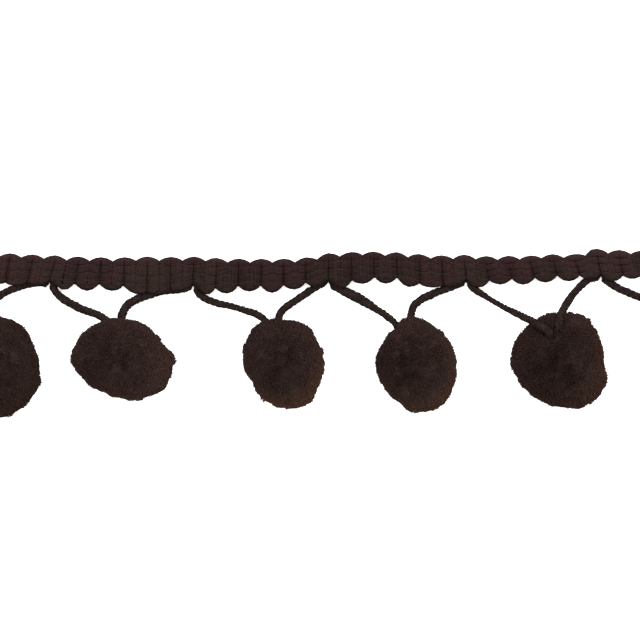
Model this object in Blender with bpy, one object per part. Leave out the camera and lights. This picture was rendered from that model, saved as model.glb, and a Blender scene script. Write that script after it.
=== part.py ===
"""Pompom fringe trim: a narrow woven heading with six pompoms hung below it on one looped cord.

The trim lies on its back on a flat surface. The heading runs along X, the pompoms hang towards -Y and the
front faces +Z. Lengths in the tables are millimetres.
"""
import math
import random

import bmesh
import bpy
from mathutils import Vector

MM = 0.001

# Heading, a flat braid of one weft bundle laid to and fro across the band
HEADING_THICKNESS = 2.4
RIB_RELIEF = 0.3
BACK_RELIEF = 0.12
TURNS_PER_GAP = 12
TOP_NOTCH = 0.55
FOOT_NOTCH = 0.9
BULGE = 0.3
STEP_PLACE = -0.1

# Pendant cord
CORD_RADIUS = 0.65
CORD_LIE = 0.67
LIMB_OFFSET = 0.85
TIE_DEPTH = 0.45
PIECE_GAP = 0.34
CORD_STEP = 1.5

# Pompoms
POMPOM_POINTS = 420
TUFT_RELIEF = 0.2
FLAT_DEPTH = 0.3
PLUNGE = 2.6

# Columns: number of a turn of the weft, its place along the top edge, its place along the foot
TURN_COLUMNS = ("number", "top", "foot")
TURNS = [
    (-3, -76.1, -76.1),
    (0, -70.2, -70.2),
    (12, -46.4, -47.5),
    (14, -42.4, -43.0),
    (18, -34.3, -34.4),
    (24, -22.05, -22.25),
    (36, 1.5, 1.5),
    (48, 25.3, 25.6),
    (58, 44.63, 45.6),
    (60, 48.5, 49.2),
    (72, 72.1, 72.9),
    (75, 78.0, 78.4),
]

# Columns: station along the heading, height of its top edge, height of its foot, depth of the foot notches
EDGE_COLUMNS = ("x", "top", "foot", "notch")
EDGES = [
    (-77.0, 2.9, -2.3, 1.0),
    (-58.0, 2.95, -2.5, 1.0),
    (-54.2, 2.95, -2.75, 0.25),
    (-50.0, 2.75, -2.62, 0.35),
    (-46.4, 2.57, -2.92, 1.0),
    (-44.6, 2.4, -3.7, 1.0),
    (-42.0, 2.3, -3.6, 1.0),
    (-36.7, 2.2, -3.65, 0.92),
    (-34.2, 2.25, -4.0, 1.0),
    (-31.0, 2.37, -4.4, 0.4),
    (-27.0, 2.3, -4.15, 0.3),
    (-22.0, 2.37, -3.45, 1.0),
    (-19.5, 2.22, -4.52, 1.0),
    (-16.3, 2.02, -4.15, 1.0),
    (-12.1, 1.95, -3.83, 1.0),
    (-8.4, 1.97, -4.05, 0.9),
    (-4.4, 2.0, -3.5, 0.9),
    (-2.1, 2.2, -3.2, 0.8),
    (1.5, 2.95, -2.75, 1.0),
    (4.5, 3.1, -3.35, 1.0),
    (7.3, 3.28, -2.5, 1.0),
    (13.1, 3.12, -2.5, 1.0),
    (15.8, 2.88, -3.05, 0.8),
    (18.5, 2.72, -3.05, 0.35),
    (21.5, 2.55, -3.15, 0.35),
    (25.3, 2.72, -2.75, 1.0),
    (28.8, 2.42, -3.22, 0.9),
    (31.0, 2.42, -2.6, 1.0),
    (35.9, 2.52, -2.6, 0.75),
    (39.9, 2.75, -2.2, 1.0),
    (44.6, 2.8, -2.0, 0.8),
    (46.2, 3.05, -1.9, 0.8),
    (47.6, 3.72, -1.75, 1.0),
    (52.5, 3.53, -2.05, 0.8),
    (56.0, 3.42, -1.5, 1.0),
    (79.0, 3.35, -1.45, 1.0),
]

# Columns: place across the half width, height as a share of the thickness
SECTION = [
    (-0.8, 0.0),
    (-0.14, 0.0),
    (-0.06, 0.0),
    (0.8, 0.0),
    (0.97, 0.25),
    (1.0, 0.6),
    (0.84, 0.95),
    (0.55, 0.9),
    (0.28, 1.0),
    (0.0, 0.9),
    (-0.28, 1.0),
    (-0.55, 0.9),
    (-0.84, 0.95),
    (-1.0, 0.6),
    (-0.97, 0.25),
]

# Columns: each leg of the cord, from the foot of the heading by its bends to where it enters the pompom
LEGS = [
    {
        "left": ((-69.2, -3.1, 0.67), (-67.0, -4.9, 0.8), (-63.5, -7.0, 2.2), (-60.5, -8.8, 5.2)),
        "right": ((-49.0, -2.15, 0.67), (-52.5, -2.88, 0.8), (-56.4, -4.75, 2.0), (-58.1, -8.6, 5.2)),
    },
    {
        "left": ((-46.75, -3.2, 0.67), (-45.2, -4.95, 0.8), (-42.0, -6.7, 2.0), (-37.5, -8.7, 4.8)),
        "right": ((-24.0, -3.3, 0.67), (-28.2, -3.8, 0.7), (-33.2, -5.77, 2.2), (-34.75, -8.4, 4.8)),
    },
    {
        "left": ((-21.55, -3.75, 0.67), (-19.35, -5.37, 0.8), (-14.0, -6.77, 2.0), (-9.7, -8.68, 5.0)),
        "right": ((-0.1, -2.62, 0.67), (-3.5, -4.82, 0.9), (-6.58, -7.08, 2.8), (-7.18, -8.8, 5.0)),
    },
    {
        "left": ((2.5, -2.8, 0.67), (5.3, -4.15, 0.8), (9.6, -6.65, 2.0), (13.3, -9.5, 5.0)),
        "right": ((23.8, -2.65, 0.67), (19.35, -4.37, 0.8), (16.57, -6.15, 2.6), (15.95, -8.7, 5.0)),
    },
    {
        "left": (
            (26.45, -2.8, 0.67),
            (30.6, -5.6, 2.2),
            (36.3, -8.6, 9.0),
            (38.3, -9.75, 13.0),
            (39.75, -10.9, 13.7),
        ),
        "right": (
            (47.3, -1.5, 0.67),
            (44.73, -3.82, 2.2),
            (42.32, -7.15, 9.0),
            (41.8, -8.6, 12.4),
            (41.5, -9.9, 13.1),
        ),
    },
    {
        "left": ((50.0, -1.7, 0.67), (52.6, -3.28, 0.8), (58.5, -5.75, 2.0), (63.7, -8.4, 5.0)),
        "right": ((71.9, -1.9, 0.67), (68.8, -4.7, 1.0), (66.9, -6.4, 2.8), (66.1, -8.4, 5.0)),
    },
]

# Reach of each pompom from its middle at the hours of a clock face seen from above, twelve o'clock towards +Y
HOURS = (12, 1, 2, 3, 4, 5, 6, 7, 8, 9, 10, 11)
POMPOMS = [
    {
        "middle": (-56.35, -16.98),
        "half_height": 7.6,
        "reach": (8.85, 8.35, 7.4, 7.3, 8.05, 8.35, 8.7, 8.2, 7.8, 7.7, 8.0, 8.4),
    },
    {
        "middle": (-34.53, -15.75),
        "half_height": 7.1,
        "reach": (7.2, 7.25, 7.25, 8.95, 8.95, 7.6, 6.7, 6.4, 7.4, 9.0, 8.5, 7.7),
    },
    {
        "middle": (-6.3, -16.63),
        "half_height": 7.2,
        "reach": (7.9, 7.95, 7.1, 7.0, 7.05, 8.0, 7.6, 6.8, 6.25, 7.05, 7.85, 8.55),
    },
    {
        "middle": (16.8, -16.8),
        "half_height": 7.2,
        "reach": (8.45, 7.5, 7.1, 6.95, 7.4, 8.25, 8.05, 6.95, 6.75, 7.0, 7.05, 7.5),
    },
    {
        "middle": (41.74, -15.75),
        "half_height": 7.9,
        "reach": (8.3, 8.7, 8.05, 7.85, 9.3, 9.35, 8.15, 7.75, 7.8, 8.5, 8.25, 8.2),
    },
    {
        "middle": (65.3, -16.1),
        "half_height": 7.5,
        "reach": (7.9, 7.8, 7.7, 7.8, 8.0, 8.1, 7.9, 7.7, 7.6, 7.7, 7.8, 7.9),
    },
]


def clear_scene():
    for item in list(bpy.data.objects):
        bpy.data.objects.remove(item, do_unlink=True)


def new_collection(name):
    collection = bpy.data.collections.new(name)
    bpy.context.scene.collection.children.link(collection)
    return collection


def new_material(name, colour, roughness):
    material = bpy.data.materials.new(name)
    material.use_nodes = True
    shader = material.node_tree.nodes["Principled BSDF"]
    shader.inputs["Base Color"].default_value = (*colour, 1.0)
    shader.inputs["Roughness"].default_value = roughness
    shader.inputs["Metallic"].default_value = 0.0
    return material


def blend(first, second, share):
    return first + (second - first) * share


def turn_place(number, column):
    """Place of one turn of the weft along an edge of the heading, read off the table of turns."""
    place = TURN_COLUMNS.index(column)
    for before, after in zip(TURNS, TURNS[1:]):
        if before[0] <= number <= after[0]:
            return blend(before[place], after[place], (number - before[0]) / (after[0] - before[0]))
    raise ValueError("no such turn")


def edge_at(x, column):
    """One column of the table of edges at a station along the heading."""
    place = EDGE_COLUMNS.index(column)
    for before, after in zip(EDGES, EDGES[1:]):
        if before[0] <= x <= after[0]:
            share = (x - before[0]) / (after[0] - before[0])
            share = share * share * (3.0 - 2.0 * share)
            return blend(before[place], after[place], share)
    return EDGES[0][place] if x < EDGES[0][0] else EDGES[-1][place]


def curve_through(points, step):
    """Points along a smooth line through the given points, no further apart than the step."""
    line = []
    count = len(points)
    for index in range(count - 1):
        before = points[max(index - 1, 0)]
        start = points[index]
        end = points[index + 1]
        after = points[min(index + 2, count - 1)]
        pull = (end - start).length
        leave = (end - before).normalized() * pull
        arrive = (after - start).normalized() * pull
        pieces = max(1, math.ceil(pull / step))
        for piece in range(pieces):
            t = piece / pieces
            line.append(
                start * (2 * t**3 - 3 * t**2 + 1)
                + leave * (t**3 - 2 * t**2 + t)
                + end * (3 * t**2 - 2 * t**3)
                + arrive * (t**3 - t**2)
            )
    line.append(points[-1].copy())
    return line


def half_turn(first, second, ahead):
    """Points of a round turn from one limb of a cord to the limb beside it."""
    middle = (first + second) / 2
    side = (first - second) / 2
    reach = ahead.normalized() * side.length
    return [middle + side * math.cos(a) + reach * math.sin(a) for a in (math.pi * k / 4 for k in range(5))]


def leg_points(number, side):
    return [Vector(point) for point in LEGS[number][side]]


def tie_points(number):
    """The short hairpin of cord that lies behind the foot of the heading at one tie."""
    place = turn_place(number * TURNS_PER_GAP, "foot")
    foot = edge_at(place, "foot") + TIE_DEPTH
    middle = Vector((place, foot, CORD_LIE))
    out = Vector((LIMB_OFFSET, 0.0, 0.0))
    return half_turn(middle - out, middle + out, Vector((0.0, 1.0, 0.0)))


def pompom_centre(number):
    x, y = POMPOMS[number]["middle"]
    return Vector((x, y, POMPOMS[number]["half_height"] - FLAT_DEPTH))


def buried_points(number):
    """The turn of the cord inside a pompom, between the ends of its two legs."""
    first = leg_points(number, "left")[-1]
    second = leg_points(number, "right")[-1]
    ahead = (pompom_centre(number) - (first + second) / 2).normalized()
    across = second - first
    across -= ahead * across.dot(ahead)
    across = across.normalized() * 1.2
    deep = (first + second) / 2 + ahead * PLUNGE
    return half_turn(deep - across, deep + across, ahead)


def pendant_path():
    path = tie_points(0)[2:]
    for number in range(len(POMPOMS)):
        path += leg_points(number, "left")
        path += buried_points(number)
        path += leg_points(number, "right")[::-1]
        path += tie_points(number + 1)
    return path[:-2]


def inner_path(number):
    """The part of the cord about one pompom, from the shin of one leg to the shin of the other."""
    left = leg_points(number, "left")
    right = leg_points(number, "right")
    return left[1:] + buried_points(number) + right[:0:-1]


def round_cord(name, path, radius):
    curve = bpy.data.curves.new(name, "CURVE")
    curve.dimensions = "3D"
    curve.bevel_depth = radius * MM
    curve.bevel_resolution = 2
    curve.use_fill_caps = True
    spline = curve.splines.new("POLY")
    spline.points.add(len(path) - 1)
    for place, point in zip(spline.points, path):
        place.co = (*(point * MM), 1.0)
    spline.use_smooth = True
    return bpy.data.objects.new(name, curve)


def as_mesh(item, name):
    """A closed mesh object made from a curve object."""
    bpy.context.view_layer.update()
    depsgraph = bpy.context.evaluated_depsgraph_get()
    mesh = bpy.data.meshes.new_from_object(item.evaluated_get(depsgraph))
    mesh.name = name
    shape = bmesh.new()
    shape.from_mesh(mesh)
    bmesh.ops.remove_doubles(shape, verts=shape.verts, dist=0.000002)
    bmesh.ops.recalc_face_normals(shape, faces=shape.faces)
    shape.to_mesh(mesh)
    shape.free()
    return bpy.data.objects.new(name, mesh)


def heading_passes():
    """Each pass of the weft as the places of its two ends, its number, and whether a tie lies behind it."""
    passes = []
    for number in range(TURNS[0][0], TURNS[-1][0] + 1):
        near = number % TURNS_PER_GAP in (0, TURNS_PER_GAP - 1)
        passes.append((turn_place(number, "top"), turn_place(number, "foot"), number, near))
    return passes


def cord_behind():
    """Points of the cord that lie behind the foot of the heading or run beside it."""
    behind = []
    for number in range(len(POMPOMS)):
        for side in ("left", "right"):
            behind += curve_through(leg_points(number, side)[:3], 0.4)
    for number in range(len(POMPOMS) + 1):
        behind += tie_points(number)
    return behind


def room_for_cord(x, foot, behind):
    """Height to which the back of the heading is lifted at a station to clear the cord behind it."""
    room = 0.0
    reach = CORD_RADIUS + PIECE_GAP
    for point in behind:
        if abs(point.x - x) < 1.5 and point.y + reach > foot - FOOT_NOTCH:
            room = max(room, point.z + reach)
    return room


def heading_ring(top_x, foot_x, top, foot, thickness, lift, room):
    middle = (top + foot) / 2
    half = (top - foot) / 2
    ring = []
    for across, height in SECTION:
        x = blend(foot_x, top_x, (across + 1) / 2)
        z = max(height * thickness, lift)
        if across < STEP_PLACE and room > 0.0:
            z = max(z, room)
            if height > 0.5:
                z = max(height * thickness + BULGE, room + 0.15 * height)
        ring.append(Vector((x, middle + across * half, z)) * MM)
    return ring


def make_heading():
    rings = []
    behind = cord_behind()
    passes = heading_passes()
    for before, after in zip(passes, passes[1:]):
        for share in (0.0, 0.25, 0.75):
            top_x = blend(before[0], after[0], share)
            foot_x = blend(before[1], after[1], share)
            groove = before[2] if share < 0.5 else before[2] + 1
            away = min(share, 1.0 - share)
            depth = max(0.0, 1.0 - away / 0.5) ** 1.5
            top = edge_at(top_x, "top") - (TOP_NOTCH * depth if groove % 2 else 0.0)
            notch = FOOT_NOTCH * edge_at(foot_x, "notch")
            foot = edge_at(foot_x, "foot") + (notch * depth if groove % 2 == 0 else 0.0)
            in_groove = share == 0.0
            thickness = HEADING_THICKNESS - (RIB_RELIEF if in_groove else 0.0)
            lift = BACK_RELIEF if in_groove and not before[3] else 0.0
            room = room_for_cord(foot_x, foot, behind)
            rings.append(heading_ring(top_x, foot_x, top, foot, thickness, lift, room))
    end = passes[-1]
    top = edge_at(end[0], "top") - 0.3
    foot = edge_at(end[1], "foot") + 0.3
    rings.append(heading_ring(end[0], end[1], top, foot, HEADING_THICKNESS - RIB_RELIEF, BACK_RELIEF, 0.0))
    mesh = bpy.data.meshes.new("heading")
    shape = bmesh.new()
    rows = [[shape.verts.new(point) for point in ring] for ring in rings]
    for row, following in zip(rows, rows[1:]):
        count = len(row)
        for index in range(count):
            other = (index + 1) % count
            shape.faces.new((row[index], row[other], following[other], following[index]))
    shape.faces.new(rows[0][::-1])
    shape.faces.new(rows[-1])
    bmesh.ops.recalc_face_normals(shape, faces=shape.faces)
    bmesh.ops.triangulate(shape, faces=shape.faces)
    shape.to_mesh(mesh)
    shape.free()
    return bpy.data.objects.new("heading", mesh)


def reach_towards(pompom, angle):
    """Reach of a pompom at an angle clockwise from twelve, eased between the hours."""
    hour = (angle / math.tau * len(HOURS)) % len(HOURS)
    before = int(hour)
    share = hour - before
    share = share * share * (3.0 - 2.0 * share)
    reach = pompom["reach"]
    return blend(reach[before], reach[(before + 1) % len(HOURS)], share)


def make_pompom(number, draw):
    pompom = POMPOMS[number]
    centre = pompom_centre(number)
    shape = bmesh.new()
    golden = math.pi * (3.0 - math.sqrt(5.0))
    for index in range(POMPOM_POINTS):
        rise = 1.0 - 2.0 * (index + 0.5) / POMPOM_POINTS
        flat = math.sqrt(1.0 - rise * rise)
        toward = Vector((flat * math.cos(golden * index), flat * math.sin(golden * index), rise))
        shape.verts.new(toward)
    shape.verts.ensure_lookup_table()
    bmesh.ops.convex_hull(shape, input=shape.verts)
    for index, vert in enumerate(shape.verts):
        toward = vert.co.normalized()
        angle = math.atan2(toward.x, toward.y) % math.tau
        wide = reach_towards(pompom, angle)
        flat = math.hypot(toward.x, toward.y)
        reach = 1.0 / math.sqrt((flat / wide) ** 2 + (toward.z / pompom["half_height"]) ** 2)
        tuft = TUFT_RELIEF * (draw.random() - 0.35)
        place = centre + toward * (reach + tuft)
        place.z = max(place.z, 0.0)
        vert.co = place * MM
    bmesh.ops.recalc_face_normals(shape, faces=shape.faces)
    for face in shape.faces:
        face.smooth = True
    name = "pompom_" + str(number + 1)
    mesh = bpy.data.meshes.new(name)
    shape.to_mesh(mesh)
    shape.free()
    return bpy.data.objects.new(name, mesh)


def sink_channel(pompom, number, cutters):
    """Cuts the channel in a pompom in which the cord turns back."""
    path = curve_through(inner_path(number), CORD_STEP)
    tube = round_cord("channel_curve_" + str(number + 1), path, CORD_RADIUS + PIECE_GAP)
    cutters.objects.link(tube)
    cutter = as_mesh(tube, "channel_" + str(number + 1))
    cutters.objects.link(cutter)
    bpy.data.objects.remove(tube, do_unlink=True)
    cutter.hide_render = True
    cutter.display_type = "WIRE"
    cut = pompom.modifiers.new("channel", "BOOLEAN")
    cut.operation = "DIFFERENCE"
    cut.solver = "EXACT"
    cut.use_self = True
    cut.object = cutter


def main():
    clear_scene()
    trim = new_collection("pompom_fringe_trim")
    cutters = new_collection("cutters")
    braid = new_material("heading_braid", (0.034, 0.0194, 0.0175), 0.85)
    cord_yarn = new_material("cord_yarn", (0.026, 0.0185, 0.0165), 0.9)
    pile = new_material("pompom_pile", (0.027, 0.0162, 0.0138), 1.0)

    heading = make_heading()
    heading.data.materials.append(braid)
    trim.objects.link(heading)

    cord = round_cord("pendant_cord", curve_through(pendant_path(), CORD_STEP), CORD_RADIUS)
    cord.data.materials.append(cord_yarn)
    trim.objects.link(cord)

    draw = random.Random(7)
    for number in range(len(POMPOMS)):
        pompom = make_pompom(number, draw)
        pompom.data.materials.append(pile)
        trim.objects.link(pompom)
        sink_channel(pompom, number, cutters)


main()
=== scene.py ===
# %% [markdown]
# Pompom fringe trim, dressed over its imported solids
#
# The solids give the size and place of every piece. This lesson builds what the eye sees over them: the
# weft yarns of the heading, its rows of chain stitch, the plied cord and the cut pile of the pompoms.
# Lengths are worked out in millimetres, as a maker would, and turned into metres when a mesh is made.

import math
import random

import bpy
import numpy as np
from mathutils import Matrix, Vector
from mathutils.kdtree import KDTree


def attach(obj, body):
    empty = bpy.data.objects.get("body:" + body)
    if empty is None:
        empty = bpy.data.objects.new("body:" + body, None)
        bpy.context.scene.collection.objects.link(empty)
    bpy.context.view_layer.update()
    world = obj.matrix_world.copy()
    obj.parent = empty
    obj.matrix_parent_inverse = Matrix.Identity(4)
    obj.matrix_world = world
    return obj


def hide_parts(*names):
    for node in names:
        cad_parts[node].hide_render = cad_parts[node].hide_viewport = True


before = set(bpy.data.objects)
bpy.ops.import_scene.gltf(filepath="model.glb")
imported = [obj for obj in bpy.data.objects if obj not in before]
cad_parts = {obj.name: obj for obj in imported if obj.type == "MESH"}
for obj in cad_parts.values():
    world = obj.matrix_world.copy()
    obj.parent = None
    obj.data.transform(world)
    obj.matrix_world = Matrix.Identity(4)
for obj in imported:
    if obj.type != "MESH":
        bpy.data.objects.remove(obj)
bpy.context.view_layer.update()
MM = 0.001

# %% [markdown]
# Where the fringe lies
#
# The heading runs along X with a slight waver, and the cord is caught behind its foot at evenly spaced
# ties. Short tables of stations are enough to place every yarn, because the braid only changes slowly
# along its length. They hold the same places as the solids.

# %% Stations of the heading and its turns
TURN_NUMBERS = (-3, 0, 12, 14, 18, 24, 36, 48, 58, 60, 72, 75)
TURN_TOPS = (-76.1, -70.2, -46.4, -42.4, -34.3, -22.05, 1.5, 25.3, 44.63, 48.5, 72.1, 78.0)
TURN_FEET = (-76.1, -70.2, -47.5, -43.0, -34.4, -22.25, 1.5, 25.6, 45.6, 49.2, 72.9, 78.4)
TIES = range(0, 73, 12)
EDGE_X = (-77.0, -58.0, -54.2, -50.0, -46.4, -44.6, -42.0, -36.7, -34.2, -31.0, -27.0, -22.0, -19.5, -16.3,
          -12.1, -8.4, -4.4, -2.1, 1.5, 4.5, 7.3, 13.1, 15.8, 18.5, 21.5, 25.3, 28.8, 31.0, 35.9, 39.9,
          44.6, 46.2, 47.6, 52.5, 56.0, 79.0)
EDGE_TOP = (2.9, 2.95, 2.95, 2.75, 2.57, 2.4, 2.3, 2.2, 2.25, 2.37, 2.3, 2.37, 2.22, 2.02, 1.95, 1.97, 2.0,
            2.2, 2.95, 3.1, 3.28, 3.12, 2.88, 2.72, 2.55, 2.72, 2.42, 2.42, 2.52, 2.75, 2.8, 3.05, 3.72,
            3.53, 3.42, 3.35)
EDGE_FOOT = (-2.3, -2.5, -2.75, -2.62, -2.92, -3.7, -3.6, -3.65, -4.0, -4.4, -4.15, -3.45, -4.52, -4.15,
             -3.83, -4.05, -3.5, -3.2, -2.75, -3.35, -2.5, -2.5, -3.05, -3.05, -3.15, -2.75, -3.22, -2.6,
             -2.6, -2.2, -2.0, -1.9, -1.75, -2.05, -1.5, -1.45)
EDGE_NOTCH = (1.0, 1.0, 0.25, 0.35, 1.0, 1.0, 1.0, 0.92, 1.0, 0.4, 0.3, 1.0, 1.0, 1.0, 1.0, 0.9, 0.9, 0.8,
              1.0, 1.0, 1.0, 1.0, 0.8, 0.35, 0.35, 1.0, 0.9, 1.0, 0.75, 1.0, 0.8, 0.8, 1.0, 0.8, 1.0, 1.0)


def edge(x, heights):
    """One column of the table at a station of the heading, eased between its rows."""
    place = np.clip(np.searchsorted(EDGE_X, x) - 1, 0, len(EDGE_X) - 2)
    low = np.take(EDGE_X, place)
    share = np.clip((x - low) / (np.take(EDGE_X, place + 1) - low), 0.0, 1.0)
    share = share * share * (3.0 - 2.0 * share)
    return np.take(heights, place) * (1.0 - share) + np.take(heights, place + 1) * share


print("heading width at the middle", round(float(edge(0.0, EDGE_TOP) - edge(0.0, EDGE_FOOT)), 2), "mm")

# %% [markdown]
# The legs of the cord
#
# One cord holds all the pompoms. At each tie it makes a short hairpin behind the foot of the heading,
# then runs down one leg, turns inside a pompom and comes back by the other leg. A smooth curve through a
# few points for each leg is enough, as a real cord has no sharp bends.

# %% Legs of the cord and the pompoms
LEGS = (
    (((-69.2, -3.1, 0.67), (-67.0, -4.9, 0.8), (-63.5, -7.0, 2.2), (-60.5, -8.8, 5.2)),
     ((-49.0, -2.15, 0.67), (-52.5, -2.88, 0.8), (-56.4, -4.75, 2.0), (-58.1, -8.6, 5.2))),
    (((-46.75, -3.2, 0.67), (-45.2, -4.95, 0.8), (-42.0, -6.7, 2.0), (-37.5, -8.7, 4.8)),
     ((-24.0, -3.3, 0.67), (-28.2, -3.8, 0.7), (-33.2, -5.77, 2.2), (-34.75, -8.4, 4.8))),
    (((-21.55, -3.75, 0.67), (-19.35, -5.37, 0.8), (-14.0, -6.77, 2.0), (-9.7, -8.68, 5.0)),
     ((-0.1, -2.62, 0.67), (-3.5, -4.82, 0.9), (-6.58, -7.08, 2.8), (-7.18, -8.8, 5.0))),
    (((2.5, -2.8, 0.67), (5.3, -4.15, 0.8), (9.6, -6.65, 2.0), (13.3, -9.5, 5.0)),
     ((23.8, -2.65, 0.67), (19.35, -4.37, 0.8), (16.57, -6.15, 2.6), (15.95, -8.7, 5.0))),
    (((26.45, -2.8, 0.67), (30.6, -5.6, 2.2), (36.3, -8.6, 9.0), (38.3, -9.75, 13.0), (39.75, -10.9, 13.7)),
     ((47.3, -1.5, 0.67), (44.73, -3.82, 2.2), (42.32, -7.15, 9.0), (41.8, -8.6, 12.4), (41.5, -9.9, 13.1))),
    (((50.0, -1.7, 0.67), (52.6, -3.28, 0.8), (58.5, -5.75, 2.0), (63.7, -8.4, 5.0)),
     ((71.9, -1.9, 0.67), (68.8, -4.7, 1.0), (66.9, -6.4, 2.8), (66.1, -8.4, 5.0))),
)
POMPOMS = (
    ((-56.35, -16.98), 7.6, (8.85, 8.35, 7.4, 7.3, 8.05, 8.35, 8.7, 8.2, 7.8, 7.7, 8.0, 8.4)),
    ((-34.53, -15.75), 7.1, (7.2, 7.25, 7.25, 8.95, 8.95, 7.6, 6.7, 6.4, 7.4, 9.0, 8.5, 7.7)),
    ((-6.3, -16.63), 7.2, (7.9, 7.95, 7.1, 7.0, 7.05, 8.0, 7.6, 6.8, 6.25, 7.05, 7.85, 8.55)),
    ((16.8, -16.8), 7.2, (8.45, 7.5, 7.1, 6.95, 7.4, 8.25, 8.05, 6.95, 6.75, 7.0, 7.05, 7.5)),
    ((41.74, -15.75), 7.9, (8.3, 8.7, 8.05, 7.85, 9.3, 9.35, 8.15, 7.75, 7.8, 8.5, 8.25, 8.2)),
    ((65.3, -16.1), 7.5, (7.9, 7.8, 7.7, 7.8, 8.0, 8.1, 7.9, 7.7, 7.6, 7.7, 7.8, 7.9)),
)
print("legs", 2 * len(LEGS), "pompoms", len(POMPOMS))

# %% Turns of the cord
CORD_LIE = 0.67
LIMB_OFFSET = 0.85
TIE_DEPTH = 0.45
PLUNGE = 2.6
BURIED_OFFSET = 1.2
FLAT_DEPTH = 0.3


def pompom_middle(number):
    """Middle of a pompom that rests on a small flat spot."""
    (x, y), half_height, _ = POMPOMS[number]
    return np.array((x, y, half_height - FLAT_DEPTH))


def half_turn(first, second, ahead):
    """Points of a round turn from one limb of the cord to the limb beside it."""
    middle = (first + second) / 2
    side = (first - second) / 2
    reach = ahead / np.linalg.norm(ahead) * np.linalg.norm(side)
    return [middle + side * math.cos(a) + reach * math.sin(a) for a in np.linspace(0.0, math.pi, 5)]


def tie_turn(number):
    """The hairpin of the cord behind the foot of the heading at one tie."""
    place = float(np.interp(TIES[number], TURN_NUMBERS, TURN_FEET))
    foot = float(edge(place, EDGE_FOOT)) + TIE_DEPTH
    middle = np.array((place, foot, CORD_LIE))
    out = np.array((LIMB_OFFSET, 0.0, 0.0))
    return half_turn(middle - out, middle + out, np.array((0.0, 1.0, 0.0)))


def buried_turn(number):
    """The turn of the cord inside a pompom, between the ends of its two legs."""
    first, second = (np.array(leg[-1]) for leg in LEGS[number])
    ahead = pompom_middle(number) - (first + second) / 2
    ahead /= np.linalg.norm(ahead)
    across = second - first
    across -= ahead * across.dot(ahead)
    across *= BURIED_OFFSET / np.linalg.norm(across)
    deep = (first + second) / 2 + ahead * PLUNGE
    return half_turn(deep - across, deep + across, ahead)


print("middle of the first pompom", pompom_middle(0))

# %% Points of the cord
cord_points = tie_turn(0)[2:]
for number in range(len(LEGS)):
    cord_points += [np.array(point) for point in LEGS[number][0]]
    cord_points += buried_turn(number)
    cord_points += [np.array(point) for point in LEGS[number][1]][::-1]
    cord_points += tie_turn(number + 1)
cord_points = np.array(cord_points[:-2])
print("cord points", len(cord_points))

# %% [markdown]
# A smooth line through points
#
# A Hermite curve passes through every point and leaves each one in the direction of its neighbours. It is
# the same rule as in the solids, so the yarns lie where the solid cord lies, only with closer steps.

# %% Smooth line
CORD_STEP = 0.35


def smooth_line(points, step):
    """Points along a smooth line through the given points, about a step apart or closer."""
    line = []
    count = len(points)
    for index in range(count - 1):
        before, start = points[max(index - 1, 0)], points[index]
        end, after = points[index + 1], points[min(index + 2, count - 1)]
        pull = np.linalg.norm(end - start)
        leave = (end - before) / np.linalg.norm(end - before) * pull
        arrive = (after - start) / np.linalg.norm(after - start) * pull
        pieces = max(1, math.ceil(pull / step))
        for t in np.arange(pieces) / pieces:
            line.append(start * (2 * t**3 - 3 * t**2 + 1) + leave * (t**3 - 2 * t**2 + t)
                        + end * (3 * t**2 - 2 * t**3) + arrive * (t**3 - t**2))
    line.append(points[-1])
    return np.array(line)


cord_line = smooth_line(cord_points, CORD_STEP)
cord_length = float(np.linalg.norm(np.diff(cord_line, axis=0), axis=1).sum())
print("cord length", round(cord_length, 1), "mm in", len(cord_line), "steps")

# %% [markdown]
# Camera, floor and light
#
# The fringe was laid on a white table and looked at from straight above, so a long lens high over the
# table keeps the pompoms round to the edges of the view. Two broad soft lights and a white surround leave
# hardly any shadow.

# %% Camera
CAMERA_HEIGHT = 1.5
FRONT_HEIGHT = 0.004
VIEW_WIDTH = 112.0 * MM
VIEW_MIDDLE = -8.75 * MM
SENSOR_WIDTH = 36.0
camera_data = bpy.data.cameras.new("camera")
camera_data.sensor_width = SENSOR_WIDTH
camera_data.lens = SENSOR_WIDTH * (CAMERA_HEIGHT - FRONT_HEIGHT) / VIEW_WIDTH
camera_data.clip_start = 0.1
camera_data.clip_end = 10.0
camera = bpy.data.objects.new("camera", camera_data)
camera.location = (0.0, VIEW_MIDDLE, CAMERA_HEIGHT)
bpy.context.scene.collection.objects.link(camera)
bpy.context.scene.camera = camera
print("lens", round(camera_data.lens, 1), "mm")

# %% Surround and lamps
bpy.context.scene.view_settings.view_transform = "Standard"
world = bpy.data.worlds.new("white surround")
world.use_nodes = True
surround = world.node_tree.nodes["Background"]
surround.inputs["Color"].default_value = (1.0, 1.0, 1.0, 1.0)
surround.inputs["Strength"].default_value = 1.15
bpy.context.scene.world = world


def soft_light(name, place, size, power):
    """A round lamp that looks at the middle of the trim."""
    data = bpy.data.lights.new(name, "AREA")
    data.shape = "DISK"
    data.size = size
    data.energy = power
    lamp = bpy.data.objects.new(name, data)
    lamp.location = place
    lamp.rotation_euler = (-Vector(place)).to_track_quat("-Z", "Y").to_euler()
    bpy.context.scene.collection.objects.link(lamp)
    return lamp


soft_light("key", (0.35, 0.40, 0.75), 0.6, 8.0)
soft_light("fill", (-0.55, -0.1, 0.7), 0.7, 5.0)
print("lamps in place")

# %% Floor
FLOOR_HALF = 2.0
floor_corners = [(FLOOR_HALF * x, FLOOR_HALF * y, 0.0) for x, y in ((-1, -1), (1, -1), (1, 1), (-1, 1))]
floor_mesh = bpy.data.meshes.new("floor")
floor_mesh.from_pydata(floor_corners, [], [(0, 1, 2, 3)])
floor = bpy.data.objects.new("floor", floor_mesh)
floor.location.z = -0.0002
bpy.context.scene.collection.objects.link(floor)
print("floor", 2.0 * FLOOR_HALF, "m wide")

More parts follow.
